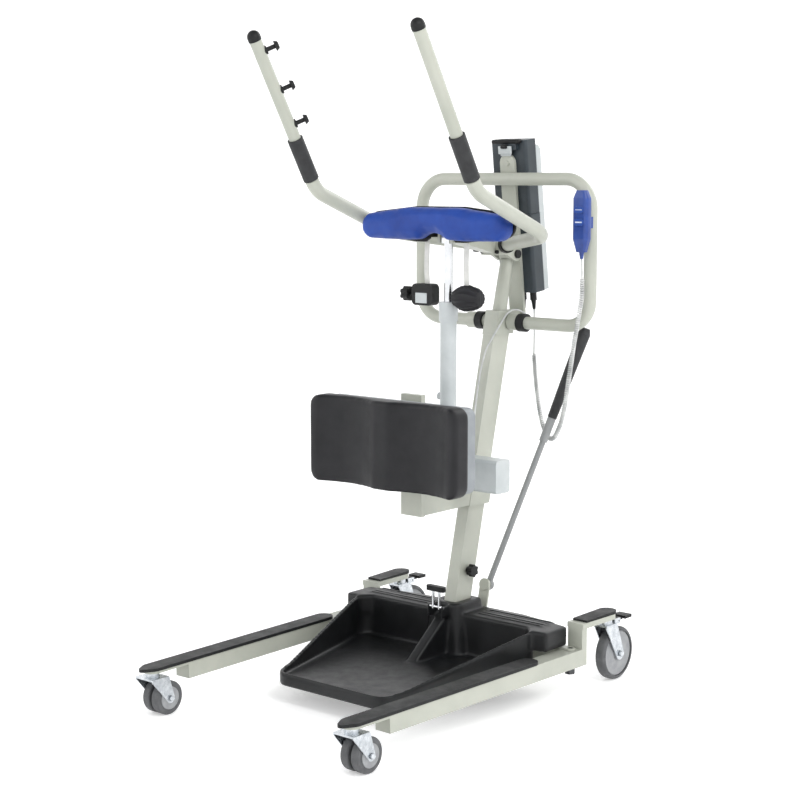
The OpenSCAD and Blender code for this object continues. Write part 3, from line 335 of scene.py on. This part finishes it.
footplate = evaluated_copy("footplate_moulding", node["footplate"], [
    ("REMESH", {"mode": "VOXEL", "voxel_size": 3.2 * MM, "use_smooth_shade": True}),
    ("SMOOTH", {"factor": 0.5, "iterations": 14})])
tray_pp = moulded_black("footplate_polypropylene", "1b1c1e", "131415", 2.2, (0.3, 0.46))
footplate.data.materials.append(tray_pp)
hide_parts("footplate")
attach(footplate, "base")


def piece_from(made, name, material, body):
    """A finished mesh as a piece on a body."""
    mesh = bpy.data.meshes.new(name)
    made.to_mesh(mesh)
    made.free()
    mesh.materials.append(material)
    piece = linked(name, mesh)
    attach(piece, body)
    return piece


def skin(made, rings):
    """Joins rings of points into a closed skin with flat ends."""
    count = len(rings[0])
    for a, b in zip(rings, rings[1:]):
        for k in range(count):
            made.faces.new((a[k], a[(k + 1) % count], b[(k + 1) % count], b[k]))
    made.faces.new(list(reversed(rings[0])))
    made.faces.new(rings[-1])
    bmesh.ops.recalc_face_normals(made, faces=made.faces[:])


def rounded_bar(name, low, high, radius, material, body, slot):
    """A box with rounded edges between two corners."""
    made = bmesh.new()
    bmesh.ops.create_cube(made, size=1.0)
    size = [h - l for l, h in zip(low, high)]
    middle = [(l + h) / 2 for l, h in zip(low, high)]
    for v in made.verts:
        v.co = Vector([m + s * c for m, s, c in zip(middle, size, v.co)])
    bmesh.ops.bevel(made, geom=made.edges[:], offset=radius, segments=4, profile=0.5, affect="EDGES")
    for face in made.faces:
        face.smooth = True
    return piece_from(made, name, material, body)


# The shelf's ribs run across it on both sides of the mast, four behind one another.
shelf_top = 0.156
rib_front = axle_y + 0.652
rib_pitch, rib_half_w = 14 * MM, 3.5 * MM
rib_inner_x, rib_outer_x = 0.077, 0.255
for side in (-1, 1):
    near_x, far_x = sorted((side * rib_inner_x, side * rib_outer_x))
    for k in range(4):
        y = rib_front + k * rib_pitch
        rounded_bar(f"shelf_rib_{'left' if side < 0 else 'right'}_{k + 1}",
                    (near_x, y - rib_half_w, shelf_top - 4 * MM), (far_x, y + rib_half_w, shelf_top + 3 * MM),
                    2.8 * MM, tray_pp, "base", "black_plastic")


# ---------------------------------------------------------------- Casters
# Pressed steel forks, zinc plated and passivated, so bright with a faint bluish mottle; grey
# thermoplastic-rubber treads on nylon hubs.
zinc = surface("bright_zinc", "d4d8dc", "b4b9be", 14, 0.28, grain=(1.5, 0.03, 0.4), gloss=(0.2, 0.38, 10),
               metallic=1.0)
tread = surface("grey_tread_rubber", "58595b", "4a4b4d", 22, 0.62, grain=(1.2, 0.1, 0.5),
                gloss=(0.5, 0.75, 12), IOR=1.52)
nylon_grey = surface("grey_nylon", "97999b", "88898c", 20, 0.4, grain=(1.5, 0.05, 0.5), IOR=1.53)
dress(zinc, "front_fork_right", "front_fork_left", "rear_fork_right", "rear_fork_left", edge=0.6 * MM)
dress(tread, "rear_tyre_right", "rear_tyre_left", "front_wheels_right", "front_wheels_left")
dress(nylon_grey, "rear_hub_right", "rear_hub_left", edge=1.0 * MM)
dark_steel = surface("blackened_steel", "5a5b5d", "3f4042", 10, 0.4, metallic=1.0)
dress(dark_steel, "pivot_bolts", edge=0.5 * MM)


def turned(name, profile, centre, axis, material, body, segments=48):
    """A piece turned about an axis through centre, from (along, radius) points."""
    made = bmesh.new()
    w = Vector(axis).normalized()
    u = w.orthogonal().normalized()
    v = w.cross(u)
    turns = [2 * math.pi * k / segments for k in range(segments)]
    spokes = [math.cos(a) * u + math.sin(a) * v for a in turns]
    skin(made, [[made.verts.new(Vector(centre) + w * along + radius * spoke) for spoke in spokes]
                for along, radius in profile])
    for face in made.faces:
        face.smooth = len(face.verts) == 4
    return piece_from(made, name, material, body)


def centre_of(name):
    low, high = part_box(name)
    return [(a + b) / 2 for a, b in zip(low, high)]


def hub_disc(name, x, centre, radius, out, body):
    """A dished nylon disc on a wheel's flank, facing out along X."""
    profile = [(0.0, radius), (1.2 * MM, radius), (1.6 * MM, radius - 1.0 * MM),
               (0.6 * MM, radius - 3.5 * MM), (0.6 * MM, radius * 0.55),
               (1.8 * MM, radius * 0.5), (1.8 * MM, radius * 0.2)]
    return turned(name, profile, (x, centre[1], centre[2]), (out, 0, 0), nylon_grey, body)


def axle_nut(name, x, centre, radius, length, out, body):
    """A six-sided nut with a chamfer, on an axle's end."""
    chamfer = 1.0 * MM
    profile = [(0, radius), (length, radius), (length + chamfer, radius - 1.5 * MM)]
    turned(name, profile, (x, centre[1], centre[2]), (out, 0, 0), zinc, body, 6)


# Distances out from the middle of a caster, along its axle.
front_disc_x, front_nut_x, front_hub_r = 24 * MM, 28.5 * MM, 25 * MM
rear_disc_x, rear_nut_x, rear_hub_r = 9 * MM, 18.5 * MM, 52 * MM
for hand in ("right", "left"):
    centre = centre_of("front_wheels_" + hand)
    for k, out in enumerate((-1, 1)):
        hub_disc(f"front_hub_{hand}_{k + 1}", centre[0] + out * front_disc_x, centre, front_hub_r, out,
                 "front_wheelset_" + hand)
        axle_nut(f"front_axle_nut_{hand}_{k + 1}", centre[0] + out * front_nut_x, centre, 6.5 * MM, 4.5 * MM,
                 out, "front_swivel_" + hand)
    centre = centre_of("rear_hub_" + hand)
    for k, out in enumerate((-1, 1)):
        axle_nut(f"rear_axle_nut_{hand}_{k + 1}", centre[0] + out * rear_nut_x, centre, 7.5 * MM, 5.5 * MM,
                 out, "rear_swivel_" + hand)
        hub_disc(f"rear_hub_face_{hand}_{k + 1}", centre[0] + out * rear_disc_x, centre, rear_hub_r, out,
                 "rear_wheel_" + hand)


# ---------------------------------------------------------------- Knee support
# A self-skinning polyurethane foam pad, moulded black with two shallow hollows for the shins, screwed to
# a grey back plate that slides on the arm's rail. The skin is matt with a leather-like pebble.
knee_skin = surface("black_foam_skin", "1d1d20", "151518", 60, 0.5, pebble=(2.4, 0.25, 0.35),
                    gloss=(0.38, 0.52, 50), IOR=1.5, Specular_IOR_Level=0.3)
knee_pad = evaluated_copy("knee_pad_moulding", node["knee_pad"], [
    ("REMESH", {"mode": "VOXEL", "voxel_size": 4.0 * MM, "use_smooth_shade": True}),
    ("SMOOTH", {"factor": 0.5, "iterations": 16})])
knee_pad.data.materials.append(knee_skin)
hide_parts("knee_pad")
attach(knee_pad, "knee_support")
plate_abs = surface("grey_abs", "8f9498", "83888c", 50, 0.42, grain=(1.6, 0.06, 0.5), IOR=1.53)
dress(plate_abs, "knee_backplate", edge=2.0 * MM)


# ---------------------------------------------------------------- Actuator
# An electric linear actuator: extruded aluminium outer tube and ABS motor housing, both finished pale
# grey, with a hard-chromed steel ram. A red key on the tube lets the ram down by hand.
satin_abs = surface("pale_abs", "bfc4c5", "b3b9ba", 60, 0.36, grain=(1.8, 0.05, 0.4), gloss=(0.28, 0.42, 40),
                    IOR=1.53, Coat_Weight=0.1)
dress(satin_abs, "actuator_motor", "box_back_cover", edge=2.0 * MM)
dress(satin_abs, "actuator_tube", edge=0.8 * MM)
chrome = surface("hard_chrome", "e6e7e9", "d8dadd", 40, 0.1, gloss=(0.06, 0.16, 25), metallic=1.0)
dress(chrome, "actuator_rod", "actuator_pin", "latch_rods", edge=0.5 * MM)
red_abs = surface("red_abs", "b3261e", "a3211a", 8, 0.3, IOR=1.53)
dress(red_abs, "release_button", edge=0.5 * MM)


# ---------------------------------------------------------------- Arm grips
# Black rubber sleeves pushed over the arms, matt with a fine pebble, and the same rubber on the
# spreader lever.
black_rubber = surface("black_grip_rubber", "28292b", "1d1e20", 30, 0.6, pebble=(2.6, 0.3, 0.4),
                       gloss=(0.5, 0.68, 25), IOR=1.52)
dress(black_rubber, "arm_grips", "lever_grip", edge=1.0 * MM)
lever_coat = powder_coat("silver_grey_powder_coat", "8e9090", "828485")
dress(lever_coat, "spreader_lever", edge=0.6 * MM)


# ---------------------------------------------------------------- Control box and battery
# Two slate-grey ABS housings on the post, the battery dropping onto the control box from above. Fine
# moulded texture, a black carry bar and a light catch at the battery's top, screws in the rear cover.
slate = surface("slate_abs", "2b353c", "242d33", 60, 0.45, grain=(1.6, 0.08, 0.6), gloss=(0.38, 0.52, 40),
                IOR=1.53)
dress(slate, "control_box", "battery", edge=2.0 * MM)

# Boxes on the housings are given in the housings' own frame, in millimetres. It stands on the post's foot
# and leans forward.
box_lean = math.radians(7)
box_frame = Matrix.Translation((0.0, axle_y + 0.908, 0.800)) @ Matrix.Rotation(box_lean, 4, "X")


def on_box(name, low, high, radius, material, body, slot):
    corners = [[v * MM for v in corner] for corner in (low, high)]
    piece = rounded_bar(name, *corners, radius * MM, material, body, slot)
    piece.matrix_world = box_frame
    return piece


on_box("battery_carry_bar", (-40, -13, 449), (40, 5, 459), 4, black_pp, "battery_pack", "black_plastic")
on_box("battery_catch", (-19, -15, 425), (19, -10, 444), 2, satin_abs, "base", "light_plastic")
on_box("battery_catch_button", (-9, -20, 438), (9, -13, 448), 3, black_pp, "battery_pack", "black_plastic")
on_box("post_catch_seat", (-15, -12, 420), (15, -7, 432), 1.5, satin_abs, "base", "light_plastic")
for k, (x, z) in enumerate(((-34, 112), (34, 112), (-34, 260), (34, 260), (-34, 415), (34, 415))):
    head = turned(f"cover_screw_{k + 1}", [(0, 4.2 * MM), (1.6 * MM, 4.2 * MM), (2.4 * MM, 2.6 * MM)],
                  (x * MM, 65.5 * MM, z * MM), (0, 1, 0), zinc, "base", 20)
    head.matrix_world = box_frame


# ---------------------------------------------------------------- Handset
# A two-key hand control in blue ABS, satin, with softer keys, hung over the push handle's upright.
blue_abs = surface("blue_abs", "1d4292", "183882", 30, 0.34, grain=(1.4, 0.05, 0.4),
                   IOR=1.53, Coat_Weight=0.15)
dress(blue_abs, "handset", edge=1.0 * MM)
key_blue = surface("key_rubber", "244b9e", "204390", 10, 0.5, IOR=1.5)
dress(key_blue, "button_up", "button_down", edge=0.5 * MM)
pale_mark = surface("pale_key_mark", "dfe6f4", "cfd8ea", 8, 0.4, IOR=1.5)
mark_half_w = 9 * MM
for key, half_height in (("up", 0.7 * MM), ("down", 1.5 * MM)):
    low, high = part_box("button_" + key)
    middle_x, middle_z = (low[0] + high[0]) / 2, (low[2] + high[2]) / 2
    rounded_bar("key_mark_" + key, (middle_x - mark_half_w, low[1] - 0.35 * MM, middle_z - half_height),
                (middle_x + mark_half_w, low[1] + 0.6 * MM, middle_z + half_height), 0.3 * MM, pale_mark,
                "key_" + key, "light_plastic")


# ---------------------------------------------------------------- Chest pad
# A foam bar in a stretched royal blue polyurethane-coated knit: satin, with soft diagonal ripples and
# creases. It lies flat on a black backing.
# A wave texture multiplies its place by this before it takes the sine, so its bands lie 2 pi times the
# size given to per_mm apart.
WAVE_PHASE = 20


def coated_knit(name, light, dark, rib_mm):
    material, tree, shader = new_material(name, 0.46, IOR=1.5, Specular_IOR_Level=0.32)
    place = object_place(tree)
    mottled(tree, shader, place, light, dark, 70)
    weave = put(tree, "TexWave", {"Vector": place, "Scale": per_mm(rib_mm) / WAVE_PHASE, "Distortion": 1.5,
                                  "Detail": 2.0}, bands_direction="DIAGONAL")
    crease = put(tree, "TexNoise", {"Vector": place, "Scale": per_mm(35), "Detail": 3.0, "Distortion": 1.2})
    both = put(tree, "Math", {0: weave.outputs["Fac"], 1: crease.outputs["Fac"]}, operation="ADD")
    raised(tree, shader, both.outputs["Value"], 0.9, 0.35)
    uneven_gloss(tree, shader, place, 0.38, 0.55, 30)
    return material


def swollen(piece, pressure, frames, cap):
    """Inflates a closed mesh as cloth for some frames, moving no point further than cap."""
    rest = [v.co.copy() for v in piece.data.vertices]
    scene = bpy.context.scene
    cloth = piece.modifiers.new("cloth", "CLOTH")
    cloth.settings.quality = 6
    cloth.settings.mass = 0.3
    cloth.settings.use_pressure = True
    cloth.settings.uniform_pressure_force = pressure
    cloth.settings.tension_stiffness = 15
    cloth.settings.bending_stiffness = 2.0
    cloth.settings.effector_weights.gravity = 0.0
    cloth.point_cache.frame_start = 1
    cloth.point_cache.frame_end = frames
    for f in range(1, frames + 1):
        scene.frame_set(f)
    grown = piece.evaluated_get(bpy.context.evaluated_depsgraph_get()).to_mesh()
    moved = [v.co.copy() for v in grown.vertices]
    piece.modifiers.clear()
    for v, start, end in zip(piece.data.vertices, rest, moved):
        shift = end - start
        if shift.length > cap:
            shift = shift.normalized() * cap
        v.co = start + shift
    scene.frame_set(1)


blue_knit = coated_knit("royal_blue_coated_knit", "1c4399", "163684", 3.0)
chest_pad = evaluated_copy("chest_pad_cushion", node["chest_pad"], [
    ("REMESH", {"mode": "VOXEL", "voxel_size": 5.0 * MM, "use_smooth_shade": True}),
    ("SMOOTH", {"factor": 0.5, "iterations": 14}), ("DISPLACE", {"strength": 4.0 * MM, "mid_level": 0.0})])
pad_back_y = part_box("chest_pad")[1][1]
swollen(chest_pad, 4.0, 20, 8 * MM)
for v in chest_pad.data.vertices:
    # The cushion stays flat where it lies on its backing.
    v.co.y = min(v.co.y, pad_back_y)
chest_pad.data.materials.append(blue_knit)
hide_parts("chest_pad")
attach(chest_pad, "boom")


# ---------------------------------------------------------------- Straps and pouch
# Woven polyester webbing tails sewn to the chest pad's backing, a gathered black nylon pouch on one and
# a clamp on the other.
webbing, web_tree, web_shader = new_material("pale_webbing", 0.75, IOR=1.5, Sheen_Weight=0.2)
web_place = object_place(web_tree)
mottled(web_tree, web_shader, web_place, "dcdcd8", "cfcfca", 12)
rib = put(web_tree, "TexWave", {"Vector": web_place, "Scale": per_mm(2.2) / WAVE_PHASE}, bands_direction="Z")
raised(web_tree, web_shader, rib.outputs["Fac"], 0.5, 0.6)
black_nylon = moulded_black("black_nylon_cloth", "27272a", "1b1b1d", 2.0, (0.55, 0.75))

tails_low, tails_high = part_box("strap_tails")
strap_w, strap_t = 14 * MM, 2.4 * MM


def strap(name, x):
    """A flat strap that hangs with a slight bow."""
    made = bmesh.new()
    rows = 40
    y0 = (tails_low[1] + tails_high[1]) / 2
    rings = []
    for k in range(rows + 1):
        t = k / rows
        z = tails_high[2] + t * (tails_low[2] - tails_high[2])
        y = y0 - 1.6 * MM * math.sin(math.pi * t) + 0.5 * MM * math.sin(7 * t)
        rings.append([made.verts.new((x + a * strap_w / 2, y + b * strap_t / 2, z))
                      for a, b in ((-1, -1), (1, -1), (1, 1), (-1, 1))])
    skin(made, rings)
    piece = piece_from(made, name, webbing, "boom")
    soften = piece.modifiers.new("rounded_edges", "BEVEL")
    soften.width = 0.7 * MM
    soften.segments = 2
    return piece


left_strap = strap("strap_left", tails_low[0] + strap_w / 2)
strap("strap_right", tails_high[0] - strap_w / 2)
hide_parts("strap_tails")

clamp_low, clamp_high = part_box("strap_clamp")
plate_x = clamp_high[0] - 50 * MM
plate_z = (clamp_low[2] + clamp_high[2]) / 2
rounded_bar("clamp_plate", (plate_x, clamp_low[1] - 1.6 * MM, plate_z - 20 * MM),
            (plate_x + 34 * MM, clamp_low[1] + 1.0 * MM, plate_z + 4 * MM), 1.2 * MM, satin_abs, "boom",
            "light_plastic")

pouch_low, pouch_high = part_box("strap_pouch")
pouch_centre = centre_of("strap_pouch")
made = bmesh.new()
gathers, around, along = 11, 132, 30
pouch_r = 31.0 * MM
rings = []
for i in range(along + 1):
    t = i / along
    bulge = math.sin(math.pi * (0.12 + 0.76 * t)) ** 0.55
    x = pouch_low[0] + t * (pouch_high[0] - pouch_low[0])
    ring = []
    for k in range(around):
        a = 2 * math.pi * k / around
        flute = 1.0 - 0.14 * abs(math.sin(gathers * a / 2 + 0.8 * math.sin(3 * t))) ** 0.6
        r = pouch_r * bulge * flute
        ring.append(made.verts.new((x, pouch_centre[1] + r * math.cos(a), pouch_centre[2] + r * math.sin(a))))
    rings.append(ring)
skin(made, rings)
for face in made.faces:
    face.smooth = True
pouch = piece_from(made, "gathered_pouch", black_nylon, "boom")
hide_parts("strap_pouch")


# ---------------------------------------------------------------- Floor and light
# A seamless white studio: the floor runs out and curves up into the backdrop all round, with soft light
# from the front on both sides and from behind.
floor_material, _, floor_shader = new_material("studio_white", 0.6)
floor_shader.inputs["Base Color"].default_value = linear("f7f7f7")
floor_shader.inputs["Emission Color"].default_value = linear("ffffff")
floor_shader.inputs["Emission Strength"].default_value = 0.34
sweep = [(0.01, 0.0), (4.6, 0.0), (5.2, 0.06), (5.7, 0.28), (6.1, 0.7), (6.3, 1.3), (6.4, 2.2), (6.4, 5.0)]
sectors = 96
floor_mesh = bpy.data.meshes.new("studio_sweep")
floor_mesh.from_pydata(
    [(radius * math.cos(2 * math.pi * k / sectors), radius * math.sin(2 * math.pi * k / sectors), z)
     for radius, z in sweep for k in range(sectors)], [],
    [(i * sectors + k, i * sectors + after, (i + 1) * sectors + after, (i + 1) * sectors + k)
     for i in range(len(sweep) - 1) for k, after in zip(range(sectors), [*range(1, sectors), 0])]
    + [tuple(range(sectors))])
for face in floor_mesh.polygons:
    face.use_smooth = True
floor_mesh.materials.append(floor_material)
linked("studio_sweep", floor_mesh)

world = bpy.data.worlds.new("studio")
world.use_nodes = True
world.node_tree.nodes["Background"].inputs["Color"].default_value = linear("f9fafb")
world.node_tree.nodes["Background"].inputs["Strength"].default_value = 0.6
bpy.context.scene.world = world


def soft_light(name, place, aim, size, watts):
    data = bpy.data.lights.new(name, "AREA")
    data.shape = "RECTANGLE"
    data.size, data.size_y = size
    data.energy = watts
    lamp = linked(name, data)
    lamp.location = place
    lamp.rotation_euler = (Vector(aim) - Vector(place)).to_track_quat("-Z", "Y").to_euler()


soft_light("key_light", (3.0, -1.0, 3.4), (0.0, 0.0, 0.6), (1.2, 1.6), 60)
soft_light("fill_light", (-2.6, -2.6, 2.0), (0.0, 0.0, 0.7), (2.0, 2.0), 12)
soft_light("back_light", (0.3, 3.0, 2.8), (0.0, 0.0, 0.8), (2.4, 1.4), 26)
bpy.context.scene.view_settings.view_transform = "Standard"
